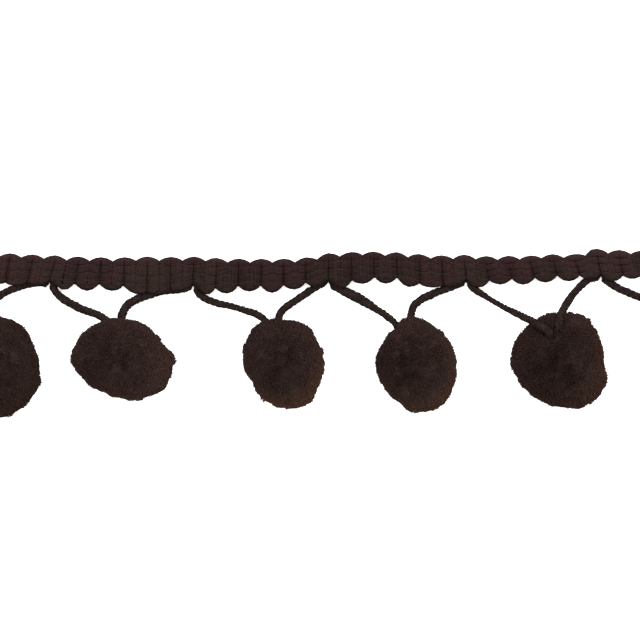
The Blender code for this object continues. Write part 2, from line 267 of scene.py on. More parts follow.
# %% [markdown]
# Shader sums in plain Python
#
# A finish is a sum of patterns. Wrapping a node's output in a small class lets the sum be written as one,
# and each sign adds its own Math node. Colours are blended with Mix nodes, because a Math node would turn
# them grey.

# %% The socket class


class Wire:
    """What comes out of one shader node, ready for sums with numbers or other wires."""

    def __init__(self, tree, socket=None):
        self.tree = tree
        self.socket = socket

    def node(self, kind, settings, values, output=0):
        """A new node of any kind: its settings first, then the values or wires of its sockets."""
        made = self.tree.nodes.new(kind)
        for name, setting in settings.items():
            setattr(made, name, setting)
        for name, value in values.items():
            if isinstance(value, Wire):
                self.tree.links.new(value.socket, made.inputs[name])
            else:
                made.inputs[name].default_value = value
        return Wire(self.tree, made.outputs[output])

    def sums(self, operation, first, second=0.0):
        """One Math node."""
        return self.node("ShaderNodeMath", {"operation": operation}, {0: first, 1: second})

    def __add__(self, other):
        return self.sums("ADD", self, other)

    __radd__ = __add__

    def __sub__(self, other):
        return self.sums("SUBTRACT", self, other)

    def __rsub__(self, other):
        return self.sums("SUBTRACT", other, self)

    def __mul__(self, other):
        return self.sums("MULTIPLY", self, other)

    __rmul__ = __mul__

    def feeds(self, socket):
        """Joins this wire to a socket of the finish."""
        self.tree.links.new(self.socket, socket)


def colour_mix(share, first, second):
    """A blend of two colours by a wire."""
    return share.node("ShaderNodeMix", {"data_type": "RGBA"}, {"Factor": share, "A": first, "B": second}, 2)


print("socket class ready")

# %% [markdown]
# The finish of dyed yarn
#
# Dyed yarn is matt, with painted shade that makes it a touch darker between its twists than on their
# crowns. Every mesh here carries its own UV map, with one lane of it for each shade of yarn, so the
# stripes follow the yarn whatever way it lies. Stripes of painted shade and mottle feed the colour, and a
# bump gives the twist its light and shade, where real ridges would take far more faces.

# %% Parts of a dyed finish
LANES = 64
TWIST_DEPTH = 0.03 * MM


def dyed_material(name):
    """A matt material with the parts of its map as wires."""
    material = bpy.data.materials.new(name)
    material.use_nodes = True
    shader = material.node_tree.nodes["Principled BSDF"]
    shader.inputs["Roughness"].default_value = 1.0
    shader.inputs["Specular IOR Level"].default_value = 0.0
    start = Wire(material.node_tree)
    place = start.node("ShaderNodeUVMap", {"uv_map": "OFBake"}, {})
    around = start.node("ShaderNodeSeparateXYZ", {}, {0: place})
    along = Wire(material.node_tree, around.socket.node.outputs[1])
    return material, shader, place, around, along


def mottle(place, scale, detail=2.0):
    """An uneven pattern, from 0 to 1, that drifts over the map."""
    return place.node("ShaderNodeTexNoise", {"noise_dimensions": "2D"},
                      {"Vector": place, "Scale": scale, "Detail": detail, "Roughness": 0.6})


def chance_of(value):
    """A number from 0 to 1 that is drawn anew for each whole value."""
    return value.node("ShaderNodeTexWhiteNoise", {"noise_dimensions": "1D"}, {"W": value})


def held(value):
    """A value kept between 0 and 1."""
    return value.node("ShaderNodeClamp", {}, {"Value": value})


print("lanes in the map of a yarn", LANES)

# %% Yarn materials


def yarn_finish(name, dark, light, turns):
    """Thread or ply with stripes of painted shade between its twists, lighter on their crowns."""
    material, shader, place, around, along = dyed_material(name)
    twist = place.sums("SINE", (around * LANES + along * turns) * math.tau) * 0.5 + 0.5
    shade = chance_of(place.sums("FLOOR", around * LANES))
    # The twist stripes add painted shade between the twists; lane shade and mottle are the yarn's own tone.
    tone = held(twist * 0.3 + shade * 0.2 + mottle(place, 30.0, 3.0) * 0.9 - 0.25)
    colour_mix(tone, (*dark, 1.0), (*light, 1.0)).feeds(shader.inputs["Base Color"])
    relief = place.node("ShaderNodeBump", {}, {"Strength": 0.6, "Distance": TWIST_DEPTH, "Height": twist})
    relief.feeds(shader.inputs["Normal"])
    return material


stitch_finish = yarn_finish("stitching thread", (0.0115, 0.0072, 0.0066), (0.0410, 0.0258, 0.0238), 3)
cord_finish = yarn_finish("cord ply", (0.0068, 0.0047, 0.0041), (0.0240, 0.0163, 0.0140), 4)
print("yarn finishes", stitch_finish.name, cord_finish.name)

# %% [markdown]
# The finish of the weft
#
# The heading is dyed unevenly: rosy towards its top edge, browner towards its foot, with a shade of its
# own for each pass. In the map of the weft a block of lanes stands for a pass, and the way along a lane
# is the way across the band, so all of that can be told from the map. A painted picture could hold it
# too, but sums of patterns stay sharp at any size.

# %% Weft material
BLOCK_LANES = 8
WEFT_BLOCKS = 16
WEFT_LANES = float(BLOCK_LANES * WEFT_BLOCKS)
DYE_PATCHES = WEFT_BLOCKS / 2
TOP_DARK, TOP_LIGHT = (0.0106, 0.0052, 0.0053, 1.0), (0.0350, 0.0174, 0.0175, 1.0)
FOOT_DARK, FOOT_LIGHT = (0.0086, 0.0056, 0.0046, 1.0), (0.0268, 0.0180, 0.0148, 1.0)
# Colour of the painted shade in the grooves and along the stitch rows.
PAINTED_SHADE_COLOUR = (0.0068, 0.0036, 0.0031, 1.0)
ROW_PLACES = (0.236, 0.491, 0.746)


def weft_material():
    """The weft: rosy or brown by patches, with painted shade in its grooves and along its stitch rows."""
    material, shader, place, around, along = dyed_material("weft yarn")
    lane = place.sums("FLOOR", around * WEFT_LANES)
    block = place.sums("FLOOR", around * float(WEFT_BLOCKS))
    patch = place.sums("FLOOR", around * DYE_PATCHES)
    strand = lane - block * float(BLOCK_LANES)
    by_patch = (chance_of(patch + 9.5) - 0.5) * 0.7
    rosy = held((along - 0.5) * 0.9 + (mottle(place, 6.0) - 0.5) * 2.0 + by_patch + 0.5)
    grain = mottle(place, 40.0, 3.0)
    tone = held(grain * 1.5 + chance_of(lane) * 0.3 + chance_of(block + 0.5) * 0.15 + patch * 0.045 - 0.64)
    dyed = colour_mix(tone, colour_mix(rosy, FOOT_DARK, TOP_DARK), colour_mix(rosy, FOOT_LIGHT, TOP_LIGHT))
    # Painted shade: dark lines along the three stitch rows, broken by a mottle.
    rows = 0.0
    for row in ROW_PLACES:
        rows = held(1.0 - place.sums("ABSOLUTE", along - row) * 15.0) + rows
    broken = held((mottle(place, 16.0) - 0.42) * 6.0)
    patchy = mottle(place, 9.0) * 1.6 - 0.2
    # Painted shade in the grooves between passes, patchy and fading towards the top edge.
    groove = held((strand - 4.4) * 0.6) * held(1.6 - along * 1.7) * held(patchy)
    painted_shade = groove * 0.72 + rows * broken * 0.95
    colour_mix(held(painted_shade), dyed, PAINTED_SHADE_COLOUR).feeds(shader.inputs["Base Color"])
    twist = place.sums("SINE", (around * WEFT_LANES + along * 14.0) * math.tau)
    relief = place.node("ShaderNodeBump", {}, {"Strength": 0.5, "Distance": TWIST_DEPTH, "Height": twist})
    relief.feeds(shader.inputs["Normal"])
    return material


weft_finish = weft_material()
print("weft finish", weft_finish.name)

# %% [markdown]
# The finish of cut pile
#
# A pompom shows the cut ends of its yarn. They take the light evenly, and the roots between them stay
# dark. The map of each strand is a small patch of a globe map of the ball, so broad patches of shade
# drift over the ball while a fine grain changes from strand to strand. Each ball has painted light on
# one side, painted sheen makes the loose pile of its sides paler than its crown, and along one stretch
# of its thin rim, where light comes through, the pile is painted browner.

# %% Pile materials
GLOBE_MARGIN = 0.02
GLOBE_SHARE = 1.0 - 2.0 * GLOBE_MARGIN
PILE_DARK = (0.0165, 0.0097, 0.0084)
PILE_LIGHT = (0.0400, 0.0237, 0.0206)
PILE_WARM = (0.0620, 0.0300, 0.0170, 1.0)
PILE_STRENGTH = (0.85, 0.98, 0.98, 0.94, 0.79, 0.95)
# Side and share of the painted light on each ball.
PAINTED_LIGHT_SIDE = (44.0, 0.0, -43.0, -22.0, 30.0, 0.0)
PAINTED_LIGHT_SHARE = (0.16, 0.26, 0.24, 0.36, 0.18, 0.24)
# Painted sheen at the rim of each ball; on the first ball the rim is painted darker instead.
PAINTED_RIM_SHEEN = (-0.08, 0.43, 0.42, 0.57, 0.74, 0.4)
WARM_SIDE = (-60.0, -70.0, -52.0, -38.0, -25.0, -60.0)
WARM_SHARE = (0.14, 0.26, 0.85, 0.5, 0.42, 0.3)


def pile_finish(number):
    """The cut pile of one ball."""
    strength = PILE_STRENGTH[number]
    dark, light = ((*(strength * part for part in colour), 1.0) for colour in (PILE_DARK, PILE_LIGHT))
    material, shader, place, around, rise = dyed_material("cut pile " + str(number + 1))

    def toward(side):
        """From 1 at one side of the ball, seen from above, to -1 at the other."""
        middle = (side / 360.0 + 0.5) * GLOBE_SHARE + GLOBE_MARGIN
        return place.sums("COSINE", (around - middle) * (math.tau / GLOBE_SHARE))

    elsewhere = (number * 3.1, number * 1.7, 0.0)
    shifted = place.node("ShaderNodeVectorMath", {"operation": "ADD"}, {0: place, 1: elsewhere})
    grain = mottle(shifted, 150.0)
    drift = mottle(shifted, 5.0, 3.0)
    outward = place.sums("SINE", rise * math.pi)
    # Painted light: one side of each ball lighter, most on its sides as seen from above.
    painted_light = toward(PAINTED_LIGHT_SIDE[number]) * outward * PAINTED_LIGHT_SHARE[number]
    # Painted sheen: the sides of the pile paler than its crown.
    painted_sheen = (outward * outward - 0.45) * PAINTED_RIM_SHEEN[number]
    tone = held((grain - 0.5) * 1.5 + (drift - 0.5) * 0.8 + painted_light + painted_sheen + 0.5)
    near_rim = held(1.5 - place.sums("ABSOLUTE", rise - 0.5) * 5.6)
    facing = toward(WARM_SIDE[number]) * 0.5 + 0.5
    warm = held(near_rim * facing * facing * WARM_SHARE[number] * (drift * 1.2 + 0.3))
    colour_mix(warm, colour_mix(tone, dark, light), PILE_WARM).feeds(shader.inputs["Base Color"])
    return material


pile_dye_and_painted_light = [pile_finish(number) for number in range(len(POMPOMS))]
print("pile finishes", len(pile_dye_and_painted_light))

# %% [markdown]
# A mesh from many strands
#
# Every yarn here is a thin tube along a line. Sweeping a ring along the line in one helper keeps all the
# yarns of a piece in one mesh, which is light to store and moves as one. The ring is carried along
# without twist, and its map runs around the yarn in a lane and along it from end to end of each pass.

# %% A piece of the trim


def place_piece(mesh, finish):
    """Puts a mesh into the scene as a piece of the trim that moves with it."""
    mesh.materials.append(finish)
    made = bpy.data.objects.new(mesh.name, mesh)
    bpy.context.scene.collection.objects.link(made)
    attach(made, "root")
    print(mesh.name, len(mesh.polygons), "faces")
    return made


def tree_of(points):
    """A tree in which the nearest of many points is quickly found."""
    tree = KDTree(len(points))
    for index, point in enumerate(points):
        tree.insert(point, index)
    tree.balance()
    return tree


print("helpers for pieces ready")

# %% Swept yarns


def carried_sides(line):
    """Two side directions at each point of a line, carried along it without twist."""
    ahead = np.gradient(line, axis=0)
    ahead /= np.linalg.norm(ahead, axis=1)[:, None]
    side = np.zeros_like(line)
    first = np.cross(ahead[0], (0.0, 0.0, 1.0))
    if np.linalg.norm(first) < 0.1:
        first = np.cross(ahead[0], (1.0, 0.0, 0.0))
    side[0] = first / np.linalg.norm(first)
    for index in range(1, len(line)):
        carried = side[index - 1] - ahead[index] * side[index - 1].dot(ahead[index])
        side[index] = carried / np.linalg.norm(carried)
    return side, np.cross(ahead, side)


class Skein:
    """Collects strands and makes them into one mesh piece."""

    def __init__(self):
        self.points = []
        self.faces = []
        self.maps = []
        self.count = 0

    def add(self, line, radius, sides, along, lane, lanes):
        """One tube: its line, its radius at each point, and its place in the map."""
        line = np.asarray(line)
        radius = np.broadcast_to(radius, len(line))
        side, up = carried_sides(line)
        angles = np.arange(sides) / sides * math.tau
        round_side = np.cos(angles)[None, :, None] * side[:, None, :]
        ring = round_side + np.sin(angles)[None, :, None] * up[:, None, :]
        self.points.append((line[:, None, :] + ring * radius[:, None, None]).reshape(-1, 3))
        rows = np.arange(len(line) - 1)[:, None] * sides
        here = np.arange(sides)[None, :]
        there = (here + 1) % sides
        corners = (rows + here, rows + there, rows + there + sides, rows + here + sides)
        self.faces += (np.stack(corners, axis=2).reshape(-1, 4) + self.count).tolist()
        u0 = (lane + here / sides) / lanes
        u1 = (lane + (here + 1) / sides) / lanes
        v0 = np.asarray(along)[:-1, None]
        v1 = np.asarray(along)[1:, None]
        # Where the way along a lane starts anew, the face before runs to the end of the lane.
        v1 = np.where(v1 < v0 - 0.6, 1.0, v1)
        us = np.stack(np.broadcast_arrays(u0 + 0 * v0, u1 + 0 * v0, u1 + 0 * v0, u0 + 0 * v0), axis=2)
        vs = np.stack(np.broadcast_arrays(v0 + 0 * u0, v0 + 0 * u0, v1 + 0 * u0, v1 + 0 * u0), axis=2)
        self.maps.append(np.stack((us, vs), axis=3).reshape(-1, 2))
        for cap in (range(sides - 1, -1, -1), range((len(line) - 1) * sides, len(line) * sides)):
            self.faces.append([self.count + place for place in cap])
            middle = ((np.min(lane) + 0.5) / lanes, 0.5)
            self.maps.append(np.array([middle] * sides))
        self.count += len(line) * sides

    def piece(self, name, finish):
        """Makes one mesh of all the strands."""
        mesh = bpy.data.meshes.new(name)
        mesh.from_pydata((np.concatenate(self.points) * MM).tolist(), [], self.faces)
        layer = mesh.uv_layers.new(name="OFBake")
        layer.data.foreach_set("uv", np.concatenate(self.maps).ravel())
        mesh.shade_smooth()
        return place_piece(mesh, finish)


print("swept yarns ready")

# %% [markdown]
# The passes of the weft
#
# The heading is one flat bundle of fine yarns that goes up and down across the band and turns at each
# edge. The turns make the scallops. The bundle lies in two layers, seven yarns on the front and four on
# the back, and three rows of stitches press it down. Each yarn keeps its place in the bundle, so at one
# edge it is on the outside of the turn and at the other on the inside, as real weft does. Where the cord
# lies behind the foot, the yarns rise over it. A bump could press ribs into a flat band, but the scallops
# of its edges only come from yarns that really turn.

# %% Places of the passes
numbers = np.arange(TURN_NUMBERS[0], TURN_NUMBERS[-1] + 1)
pass_tops = np.interp(numbers, TURN_NUMBERS, TURN_TOPS)
pass_feet = np.interp(numbers, TURN_NUMBERS, TURN_FEET)
passes = [(float(top), float(foot), int(number)) for top, foot, number in zip(pass_tops, pass_feet, numbers)]
print("passes", len(passes) - 1)

# %% Rise over the cord
CORD_LIFT = 1.35
LIFTED_BESIDE = 0.5
LIFT_FADE = 1.1
LOW_CORD = 1.5
behind_tree = tree_of([(x, y, 0.0) for x, y, _ in cord_line])


def cord_under(x, y):
    """How far the cord lifts what lies over it, from 0 beside it to its full thickness."""
    place, index, away = behind_tree.find((x, y, 0.0))
    if cord_line[index][2] > LOW_CORD:
        return 0.0
    share = max(0.0, 1.0 - max(0.0, away - LIFTED_BESIDE) / LIFT_FADE)
    return CORD_LIFT * share * share * (3.0 - 2.0 * share)


tie_place = float(np.interp(TIES[3], TURN_NUMBERS, TURN_FEET))
print("lift at the middle tie", round(cord_under(tie_place, float(edge(tie_place, EDGE_FOOT))), 2), "mm")

# %% Lie of the weft
FRONT_RADIUS, BACK_RADIUS = 0.19, 0.27
LAYERS = (("front", 7, 0.8, FRONT_RADIUS), ("back", 4, 0.72, BACK_RADIUS))
TOP_TURN = 0.5
TOP_RISE = 0.56
FOOT_TURN = 1.02
HALF_PASS = 1.78
FRONT_LEVEL = 1.98
BACK_LEVEL = 0.29
ROW_REACH = 0.82
SPREAD = 0.05
TOP_CLOSING = 0.85
SWAY = 0.11
PATCHES = (4, 3, 5, 6, 4, 2, 5, 3, 4, 1, 2, 0, 1, 0, 2, 4, 6, 3, 5, 7, 4, 6, 3, 5)
PASSES_A_PATCH = 3.3
ROWS = (-0.57, -0.02, 0.53)
ROW_WIDTH = 0.07
FRONT_STOPS = (-1.0, -0.83, -0.695, -0.56, -0.3, -0.14, -0.02, 0.1, 0.26, 0.52, 0.65, 0.78, 1.0)
BACK_STOPS = (-1.0, -0.6, -0.2, 0.2, 0.6, 1.0)
draw = random.Random(11)
swell = [draw.uniform(0.94, 1.06) for _ in passes]
shades = [PATCHES[int(index / PASSES_A_PATCH)] * 2 + draw.randrange(2) for index in range(len(passes))]
widths = [[draw.uniform(0.2, 1.7) for _ in range(4)] for _ in passes]
sways = [[draw.uniform(-1.0, 1.0) for _ in range(4)] for _ in passes]
print("shades of the passes", len(set(shades)))

# %% Heights and edges of the weft
ROUND_FROM, ROUND_OVER = 0.68, 0.32
CROWN_HEIGHT = 0.24
STITCH_PRESS = 0.22
EDGE_DROP = 0.5
FRONT_LIFT = 0.45


def weft_height(layer, x, y, share, across):
    """Height of a yarn. The front sinks by the groove; stitches and edges draw both layers together."""
    pressed = sum(math.exp(-((share - row) / ROW_WIDTH) ** 2) for row in ROWS)
    rounded = max(0.0, (abs(share) - ROUND_FROM) / ROUND_OVER) ** 2
    lift = cord_under(x, y)
    if layer == "front":
        closing = min(1.0, 0.72 - 0.38 * share)
        crown = CROWN_HEIGHT * (1.0 - closing * ((across + 1.0) / 2.0) ** 3)
        crown -= 0.08 * math.exp(-((across + 1.0) / 0.3) ** 2)
        sunk = STITCH_PRESS * pressed
        return FRONT_LEVEL + crown - sunk - EDGE_DROP * rounded + FRONT_LIFT * lift * (1.0 - rounded)
    return BACK_LEVEL + 0.1 * pressed + EDGE_DROP * rounded + lift * (1.0 - 0.3 * rounded)


def spread_at(cross):
    """How far the passes stand apart at a groove that is open at the foot and closes towards the top."""
    return SPREAD * (1.0 - TOP_CLOSING * cross * cross)


def foot_turn(x):
    """How far the weft reaches past its turns at the foot."""
    return FOOT_TURN * float(edge(x, EDGE_NOTCH))


def band_at(x, radius):
    """Where the passes turn at the top and at the foot."""
    return float(edge(x, EDGE_TOP)) - TOP_TURN - radius, float(edge(x, EDGE_FOOT)) + foot_turn(x) + radius


print("turns at the middle", [round(place, 2) for place in band_at(0.0, FRONT_RADIUS)], "mm")

# %% Winding of the weft
TURN_STEPS = 6
MAP_REACH, MAP_TURN = 0.38, 0.1
HEIGHT_JITTER, SIDE_JITTER = 0.02, 0.03
weft = Skein()
for layer, yarns, reach, radius in LAYERS:
    for strand in range(yarns):
        offset = (2.0 * strand / (yarns - 1) - 1.0) * reach
        lane_in_block = strand if layer == "front" else 2 * strand
        line = []
        along = []
        lanes = []
        for index in range(len(passes) - 1):
            before, after = passes[index], passes[index + 1]
            upward = before[2] % 2 == 1
            way = 1.0 if upward else -1.0
            closed = index + 1 if upward else index
            for stop in (FRONT_STOPS if layer == "front" else BACK_STOPS)[::1 if upward else -1]:
                cross = (stop + 1.0) / 2.0
                middle = (before[1] + after[1]) / 2 * (1 - cross) + (before[0] + after[0]) / 2 * cross
                gap = spread_at(cross) * float(np.interp(cross * 3.0, (0, 1, 2, 3), widths[closed]))
                lean = SWAY * float(np.interp(cross * 3.0, (0, 1, 2, 3), sways[closed]))
                x = middle + (offset - gap) * way + lean * (offset + 1.0) / 2.0
                top, foot = band_at(x, radius)
                y = (top + foot) / 2 + stop * (top - foot) / 2
                high = weft_height(layer, x, y, stop * ROW_REACH, offset / reach)
                high += draw.gauss(0.0, HEIGHT_JITTER)
                line.append((x + draw.uniform(-SIDE_JITTER, SIDE_JITTER), y, high))
                along.append(0.5 + MAP_REACH * stop)
                lanes.append(shades[index] * BLOCK_LANES + lane_in_block)
            if index == len(passes) - 2:
                continue
            beyond = passes[index + 2]
            place = 0 if upward else 1
            groove = after[place]
            half = (beyond[place] - before[place]) / 4.0 - (offset - spread_at(1.0 - place)) * way
            for step in range(1, TURN_STEPS):
                angle = math.pi * step / TURN_STEPS
                x = groove - math.cos(angle) * half
                top, foot = band_at(x, radius)
                bow = math.sin(angle) ** (1.0 + (1.3 if upward else 0.8) * half / HALF_PASS)
                rise = (TOP_RISE if upward else foot_turn(x)) * (0.2 + 0.8 * half / HALF_PASS) * swell[index]
                y = top + rise * bow if upward else foot - rise * bow
                share = (ROW_REACH + (1.0 - ROW_REACH) * bow * half / HALF_PASS) * way
                line.append((x, y, weft_height(layer, x, y, share, offset / reach)))
                along.append(0.5 + (MAP_REACH + MAP_TURN * bow) * way)
                lanes.append(shades[index] * BLOCK_LANES + lane_in_block)
        weft.add(line, radius, 5, along, np.array(lanes[:-1])[:, None], WEFT_LANES)

weft_piece = weft.piece("heading_weft", weft_finish)
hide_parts("heading")

# %% [markdown]
# The heart of the heading
#
# Between the two layers of weft lie the ends of the stitches. Nothing of them shows but darkness. They
# could be laid one by one, but a flat plain band fills the space as well with few faces, and keeps light
# from passing through the braid.

# %% Heart of the band
HEART_SECTION = ((0.0, 0.9, 1.3), (0.15, 0.5, 1.7), (0.4, 0.45, 1.8), (0.7, 0.45, 1.8), (1.0, 0.8, 1.4))
HEART_STEP = 0.5
HEART_TOP, HEART_FOOT = 0.66, 0.1
heart_points = []
stations = np.arange(passes[0][0] + 0.4, passes[-1][0] - 0.3, HEART_STEP)
for x in stations:
    top = float(edge(x, EDGE_TOP)) - HEART_TOP
    foot = float(edge(x, EDGE_FOOT)) + HEART_FOOT + foot_turn(x)
    for share, low, high in HEART_SECTION:
        y = foot + (top - foot) * share
        lift = cord_under(x, y)
        heart_points.append((x, y, low + lift * 0.9))
        heart_points.append((x, y, max(high + lift * 0.4, low + lift * 0.9 + 0.1)))
print("stations of the heart", len(stations))

# %% Skin of the heart
ring = [0, 2, 4, 6, 8, 9, 7, 5, 3, 1]
count = len(ring)
last = (len(stations) - 1) * count
heart_faces = []
for row in range(0, last, count):
    for here, there in zip(ring, ring[1:] + ring[:1]):
        heart_faces.append((row + here, row + there, row + count + there, row + count + here))
heart_faces.append(ring[::-1])
heart_faces.append([last + place for place in ring])
heart_mesh = bpy.data.meshes.new("heading_heart")
heart_mesh.from_pydata((np.array(heart_points) * MM).tolist(), [], heart_faces)
layer = heart_mesh.uv_layers.new(name="OFBake")
for face in heart_mesh.polygons:
    for loop in face.loop_indices:
        x, y, z = heart_points[heart_mesh.loops[loop].vertex_index]
        layer.data[loop].uv = ((y + 5.0) / 10.0, (x + 80.0) / 160.0)
place_piece(heart_mesh, stitch_finish)

# %% [markdown]
# The rows of chain stitch
#
# Three rows of chain stitch bind the passes. Each stitch is a small loop over a pair of passes, and the
# next one comes up through its end, so the row reads as a line of links that dips into the grooves. One
# link could be copied along the row, but the passes differ in width. So two thin threads are laid along
# each row, apart in the middle of each stitch and together at its ends.

# %% Chain stitches
THREAD_RADIUS = 0.1
THREAD_LEVEL = 0.22
THREAD_DIP = 0.22
LINK_CLOSED, LINK_OPEN = 0.06, 0.13
LINK_STEPS = 6
stitches = Skein()
for row in ROWS:
    cross = (row / ROW_REACH + 1.0) / 2.0
    for limb in (-1.0, 1.0):
        line = []
        along = []
        for index in range(len(passes) - 1):
            before, after = passes[index], passes[index + 1]
            upward = before[2] % 2 == 1
            for step in range(LINK_STEPS):
                t = step / LINK_STEPS
                start = before[1] * (1 - cross) + before[0] * cross
                end = after[1] * (1 - cross) + after[0] * cross
                x = start + (end - start) * t
                link = (t if upward else t + 1.0) / 2.0
                top, foot = band_at(x, FRONT_RADIUS)
                y = (top + foot) / 2 + row / ROW_REACH * (top - foot) / 2
                y += limb * (LINK_CLOSED + LINK_OPEN * math.sin(math.pi * link))
                across = 2.0 * t - 1.0 if upward else 1.0 - 2.0 * t
                dip = THREAD_DIP * max(0.0, across) ** 6
                high = weft_height("front", x, y, row, across) + THREAD_LEVEL - dip
                line.append((x, y + draw.uniform(-0.02, 0.02), high))
                along.append(t)
        stitches.add(line, THREAD_RADIUS, 5, along, 0 if limb < 0 else 1, LANES)
stitches.piece("chain_stitches", stitch_finish)

# %% [markdown]
# The plied cord
#
# The cord is three plies twisted round each other. It could be one tube with a twisted bump, but only
# real ridges show in its outline against the white table. So each ply is a tube of its own that winds
# round the middle line of the cord. Here and there the cord swells where it is slack, or thins where it
# is tight.

# %% Cord plies
PLIES = 3
PLY_RADIUS = 0.43
WIND_RADIUS = 0.3
LAY = 2.9
LOOSE = ((-43.5, -5.8, 0.14), (-34.0, -6.5, 0.12), (-30.0, -4.2, 0.1), (6.0, -4.6, 0.34), (11.5, -7.8, -0.05),
         (31.0, -5.8, -0.26), (-16.0, -6.2, -0.14), (19.5, -4.4, 0.1))
LOOSE_REACH = 3.2
WANDER_KNOTS = 260
steps = np.concatenate(([0.0], np.cumsum(np.linalg.norm(np.diff(cord_line, axis=0), axis=1))))
side, up = carried_sides(cord_line)
cord = Skein()
loose = np.ones(len(cord_line))
for x, y, amount in LOOSE:
    loose += amount * np.exp(-((cord_line[:, 0] - x) ** 2 + (cord_line[:, 1] - y) ** 2) / LOOSE_REACH**2)
for ply in range(PLIES):
    knots = [draw.uniform(0.9, 1.1) for _ in range(WANDER_KNOTS)]
    wander = np.interp(steps, np.linspace(0, steps[-1], WANDER_KNOTS), knots)
    angle = steps / LAY * math.tau + ply * math.tau / PLIES
    wound = WIND_RADIUS * wander * loose
    line = cord_line + wound[:, None] * (np.cos(angle)[:, None] * side + np.sin(angle)[:, None] * up)
    line[:, 2] = np.maximum(line[:, 2], PLY_RADIUS * loose)
    cord.add(line, PLY_RADIUS * wander * loose, 7, (steps / 4.0) % 1.0, ply, LANES)
cord_piece = cord.piece("cord_plies", cord_finish)
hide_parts("pendant_cord")

# %% [markdown]
# Loose hairs on the cord
#
# Spun yarn is hairy. A few thousand short hairs standing off the plies break up their clean outline. A
# hair system could grow them, but short thin tubes are plain mesh like all the rest, and three sides are
# enough for a hair.

# %% Cord hairs
HAIRS = 2600
HAIR_LENGTH = (0.12, 0.3)
HAIR_RADIUS = (0.06, 0.05, 0.02)
hairs = Skein()
for _ in range(HAIRS):
    index = draw.randrange(4, len(cord_line) - 4)
    angle = draw.uniform(0.0, math.tau)
    out = math.cos(angle) * side[index] + math.sin(angle) * up[index]
    ahead = cord_line[index + 1] - cord_line[index - 1]
    ahead /= np.linalg.norm(ahead)
    root = cord_line[index] + out * 0.5 * loose[index]
    lean = ahead * draw.uniform(-0.8, 0.8)
    tip = root + (out + lean) * draw.uniform(*HAIR_LENGTH)
    middle = (root + tip) / 2 + out * 0.06
    line = np.array((root, middle, tip))
    line[:, 2] = np.maximum(line[:, 2], 0.05)
    hairs.add(line, np.array(HAIR_RADIUS), 3, (0.0, 0.5, 1.0), draw.randrange(8), LANES)
hairs.piece("cord_hairs", cord_finish)

# %% [markdown]
# The pompoms
#
# A pompom is a ball of cut yarn. Its strands stand out from the middle in all directions and were trimmed
# to a ball, not quite evenly. A bumpy skin on a plain ball would be lighter, but its outline would show
# no yarn ends. So the outline of each ball is read at the twelve hours of a clock face and eased between
# them, and thousands of short strands are set on it, gathered in small tufts.

# %% Form of a ball
NUBS = ((0, 11.5, -50.5, 0.5, 0.08), (1, 52.8, 0.0, 0.35, 0.08), (2, -21.0, -35.5, 0.6, 0.08),
        (3, -2.5, 8.8, 0.8, 0.15), (4, -8.0, -46.0, 0.2, 0.08), (4, 30.9, 40.7, 0.45, 0.07),
        (4, 38.2, 29.5, 0.25, 0.06))


def ball_reach(number, toward):
    """Reach of a pompom in each of many directions."""
    _, half_height, hours = POMPOMS[number]
    hour = (np.arctan2(toward[:, 0], toward[:, 1]) / math.tau * 12.0) % 12.0
    before = hour.astype(int) % 12
    share = hour - hour.astype(int)
    share = share * share * (3.0 - 2.0 * share)
    wide = np.take(hours, before) * (1 - share) + np.take(hours, (before + 1) % 12) * share
    flat = np.hypot(toward[:, 0], toward[:, 1])
    reach = 1.0 / np.sqrt((flat / wide) ** 2 + (toward[:, 2] / half_height) ** 2)
    for owner, east, north, height, width in NUBS:
        if owner == number:
            spot = np.array((east, north, 0.0)) / math.hypot(east, north)
            reach = reach + height * np.exp(-((toward - spot) ** 2).sum(axis=1) / width**2)
    return reach


def even_directions(count):
    """Directions spread evenly over a ball."""
    index = np.arange(count)
    rise = 1.0 - 2.0 * (index + 0.5) / count
    flat = np.sqrt(1.0 - rise * rise)
    turn = index * math.pi * (3.0 - math.sqrt(5.0))
    return np.stack((flat * np.cos(turn), flat * np.sin(turn), rise), axis=1)


print("reach at twelve of the second ball", ball_reach(1, np.array([[0.0, 1.0, 0.0]])).round(2))

# %% Strands of a ball
STRANDS = 16000
TUFTS = 420
STRAND_DEPTH = 0.62
SUNK = 0.3
ROOT_RADIUS = 0.12
TIP_RADIUS = 0.085
SCATTER = 0.008
TUFT_SCATTER = 0.035
TUFT_PULL = 0.14
TUFT_UNEVEN = 0.11
STRAND_UNEVEN = 0.035
TIP_SCATTER = 0.08
CORD_RADIUS = 0.65
cord_tree = tree_of(cord_line)


def globe_map(toward):
    """Place of each direction in the map of a ball."""
    around = np.arctan2(toward[:, 1], toward[:, 0]) / math.tau + 0.5
    rise = np.arccos(np.clip(toward[:, 2], -1.0, 1.0)) / math.pi
    return np.stack((around, rise), axis=1) * GLOBE_SHARE + GLOBE_MARGIN


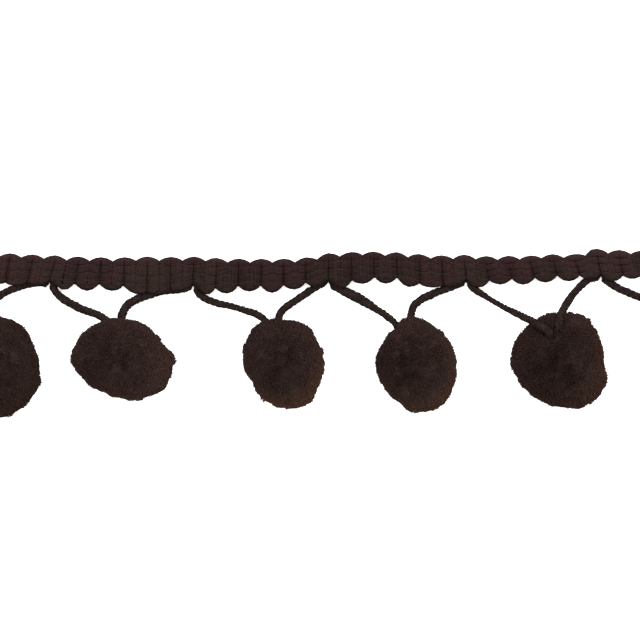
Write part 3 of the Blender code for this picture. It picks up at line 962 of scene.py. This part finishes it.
def strand_ends(number, chance):
    """Roots, tips and directions of the strands of a ball, less those in the way of the cord."""
    middle = pompom_middle(number)
    toward = even_directions(STRANDS) + chance.normal(0.0, SCATTER, (STRANDS, 3))
    toward /= np.linalg.norm(toward, axis=1)[:, None]
    tufts = even_directions(TUFTS) + chance.normal(0.0, TUFT_SCATTER, (TUFTS, 3))
    tufts /= np.linalg.norm(tufts, axis=1)[:, None]
    owner = np.argmax(toward @ tufts.T, axis=1)
    gathered = toward * (1 - TUFT_PULL) + tufts[owner] * TUFT_PULL
    gathered /= np.linalg.norm(gathered, axis=1)[:, None]
    uneven = chance.normal(0.0, TUFT_UNEVEN, TUFTS)[owner] + chance.normal(0.0, STRAND_UNEVEN, STRANDS)
    reach = ball_reach(number, gathered) + uneven - 0.02
    root = middle + toward * (ball_reach(number, toward) - STRAND_DEPTH)[:, None]
    tip = middle + gathered * reach[:, None] + chance.normal(0.0, TIP_SCATTER, (STRANDS, 3))
    beside = [cord_tree.find(point) for point in tip]
    depth = [(Vector(point) - Vector(middle)).length - (place - Vector(middle)).length
             for point, (place, _, _) in zip(tip, beside)]
    keep = np.array([away > CORD_RADIUS + 0.02 or deep > SUNK for (_, _, away), deep in zip(beside, depth)])
    root, tip, toward = root[keep], tip[keep], toward[keep]
    for line in (root, tip):
        line[:, 2] = np.maximum(line[:, 2], 0.05 + 0.04 * chance.random(len(line)))
    return root, tip, toward


print("strands for each ball", STRANDS, "in", TUFTS, "tufts")

# %% Pile of a ball


def make_pile(number):
    """One mesh of all the strands of a ball, each a thin three-sided spike."""
    chance = np.random.default_rng(100 + number)
    root, tip, toward = strand_ends(number, chance)
    ahead = (tip - root) / np.linalg.norm(tip - root, axis=1)[:, None]
    side = np.cross(ahead, (0.31, 0.17, 0.93))
    side /= np.linalg.norm(side, axis=1)[:, None]
    up = np.cross(ahead, side)
    spin = chance.uniform(0.0, math.tau, len(root))
    points = []
    for line, radius in ((root, ROOT_RADIUS), (tip, TIP_RADIUS)):
        for corner in range(3):
            angle = spin + corner * math.tau / 3
            points.append(line + radius * (np.cos(angle)[:, None] * side + np.sin(angle)[:, None] * up))
    points = np.stack(points, axis=1)
    points[:, :, 2] = np.maximum(points[:, :, 2], 0.02)
    count = len(root)
    first = np.arange(count) * 6
    corners = [(here, (here + 1) % 3, (here + 1) % 3 + 3, here + 3) for here in range(3)]
    quads = (np.array(corners)[None] + first[:, None, None]).reshape(-1, 4)
    ends = np.array((3, 4, 5))[None] + first[:, None]
    mesh = bpy.data.meshes.new("pompom_pile_" + str(number + 1))
    mesh.from_pydata((points.reshape(-1, 3) * MM).tolist(), [], quads.tolist() + ends.tolist())
    spread = np.array([(across, along) for along in (0.0, 0.006) for across in (0.0, 0.003, 0.0015)])
    spots = (globe_map(toward)[:, None, :] + spread[None]).reshape(-1, 2)
    layer = mesh.uv_layers.new(name="OFBake")
    order = np.concatenate((quads.ravel(), ends.ravel()))
    layer.data.foreach_set("uv", spots[order].ravel())
    made = place_piece(mesh, pile_dye_and_painted_light[number])
    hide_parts("pompom_" + str(number + 1))
    return count


strand_counts = [make_pile(number) for number in range(len(POMPOMS))]
print("strands", strand_counts)

# %% [markdown]
# The hearts of the balls
#
# Under the strands the roots are packed so close that they read as one dark mass. A ball a little smaller
# than the pile, with a grid that is even enough for its shape, closes the view between the strands.

# %% Hearts of the balls
HEART_DEPTH = 0.34
HEART_DENT = 0.84
HEART_ROWS, HEART_COLUMNS = 24, 40


def make_heart(number):
    """A closed ball a little inside the pile, dented where the cord runs."""
    middle = pompom_middle(number)
    rows, columns = HEART_ROWS, HEART_COLUMNS
    angle = np.linspace(0.0, math.pi, rows + 1)[1:-1]
    turn = np.arange(columns) / columns * math.tau
    toward = np.stack((np.sin(angle)[:, None] * np.cos(turn), np.sin(angle)[:, None] * np.sin(turn),
                       np.cos(angle)[:, None] + 0 * turn), axis=2).reshape(-1, 3)
    toward = np.concatenate((toward, [[0.0, 0.0, 1.0], [0.0, 0.0, -1.0]]))
    points = middle + toward * (ball_reach(number, toward) - HEART_DEPTH)[:, None]
    points[:, 2] = np.maximum(points[:, 2], 0.12)
    for index, point in enumerate(points):
        place, _, away = cord_tree.find(point)
        if away < CORD_RADIUS + 0.25:
            points[index] = middle + (point - middle) * HEART_DENT
    faces = []
    for row in range(rows - 2):
        for column in range(columns):
            there = (column + 1) % columns
            faces.append((row * columns + column, (row + 1) * columns + column,
                          (row + 1) * columns + there, row * columns + there))
    top, bottom = len(points) - 2, len(points) - 1
    last = (rows - 2) * columns
    for column in range(columns):
        there = (column + 1) % columns
        faces.append((top, column, there))
        faces.append((bottom, last + there, last + column))
    mesh = bpy.data.meshes.new("pompom_heart_" + str(number + 1))
    mesh.from_pydata((points * MM).tolist(), [], faces)
    layer = mesh.uv_layers.new(name="OFBake")
    spots = globe_map(toward)
    for loop in mesh.loops:
        layer.data[loop.index].uv = spots[loop.vertex_index]
    mesh.shade_smooth()
    return place_piece(mesh, pile_dye_and_painted_light[number])


hearts = [make_heart(number) for number in range(len(POMPOMS))]
print("hearts", len(hearts))

# %% [markdown]
# The table top
#
# A white table that is lit evenly reads as plain white. A matt white with no gloss and a faint glow of
# its own gives that without a reflection of the lamps.

# %% Floor finish
table_top = bpy.data.materials.new("white table")
table_top.use_nodes = True
matt_white = table_top.node_tree.nodes["Principled BSDF"]
matt_white.inputs["Base Color"].default_value = (0.92, 0.92, 0.92, 1.0)
matt_white.inputs["Roughness"].default_value = 1.0
matt_white.inputs["Specular IOR Level"].default_value = 0.0
matt_white.inputs["Emission Color"].default_value = (1.0, 1.0, 1.0, 1.0)
matt_white.inputs["Emission Strength"].default_value = 0.6
floor_mesh.materials.append(table_top)
print("floor finish", table_top.name)
